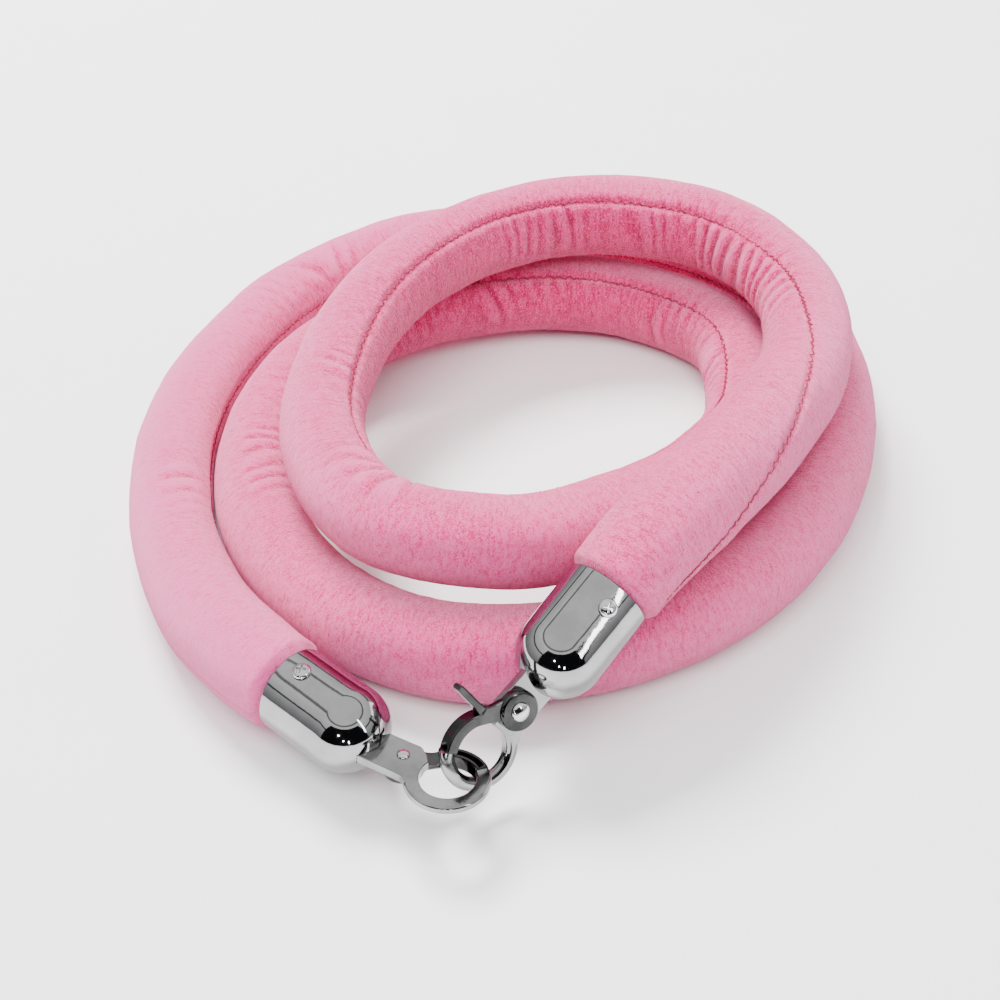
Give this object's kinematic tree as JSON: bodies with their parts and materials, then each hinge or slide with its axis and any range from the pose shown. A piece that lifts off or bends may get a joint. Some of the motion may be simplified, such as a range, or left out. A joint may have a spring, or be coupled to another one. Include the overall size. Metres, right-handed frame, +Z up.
{
  "type": "barrier_rope",
  "caption": "Velvet barrier rope, 2 m long and 30 mm thick, lying in a loose coil, with chrome domed end caps and two trigger snap hooks closed through each other",
  "frame": {"origin": "under the middle of the whole object's box, on the surface it lies on", "axes": "+Z up from that surface; -Y toward the two hooks; +X to the right seen from the hooks"},
  "size_m": [0.276, 0.3336, 0.0689],
  "materials": {
    "velvet": "pink velvet, short dense pile",
    "filling": "undyed twisted fibre",
    "thread": "sewing thread, darker than the velvet",
    "chrome": "bright plated, polished",
    "steel": "plain",
    "wood": "turned, unfinished"
  },
  "bodies": {
    "rope": {"velvet_sleeve": "velvet", "rope_core": "filling", "seam_thread": "thread", "end_cap_right": "chrome", "cap_screw_right_1": "chrome", "cap_screw_right_2": "chrome", "end_plug_right": "wood", "cuff_binding_right": "steel", "hook_body_right": "chrome", "lever_rivet_right": "chrome", "lever_spring_right": "steel", "tang_pin_right": "steel", "end_cap_left": "chrome", "cap_screw_left_1": "chrome", "cap_screw_left_2": "chrome", "end_plug_left": "wood", "cuff_binding_left": "steel", "hook_body_left": "chrome", "lever_rivet_left": "chrome", "lever_spring_left": "steel", "tang_pin_left": "steel"},
    "lever_right": {"trigger_lever_right": "chrome"},
    "lever_left": {"trigger_lever_left": "chrome"}
  },
  "joints": [
    {"name": "lever_right_turn", "type": "hinge", "parent": "rope", "child": "lever_right", "pos_m": [0.00121, -0.1344, 0.02987], "axis": [-0.4856, 0.7838, -0.387], "range_deg": [0, 35], "stiffness_Nm_per_rad": 0.02, "springref_deg": -20.05},
    {"name": "lever_left_turn", "type": "hinge", "parent": "rope", "child": "lever_left", "pos_m": [-0.03361, -0.14434, 0.01563], "axis": [0.0134, 0.0984, 0.9951], "range_deg": [0, 35], "stiffness_Nm_per_rad": 0.02, "springref_deg": -20.05}
  ]
}
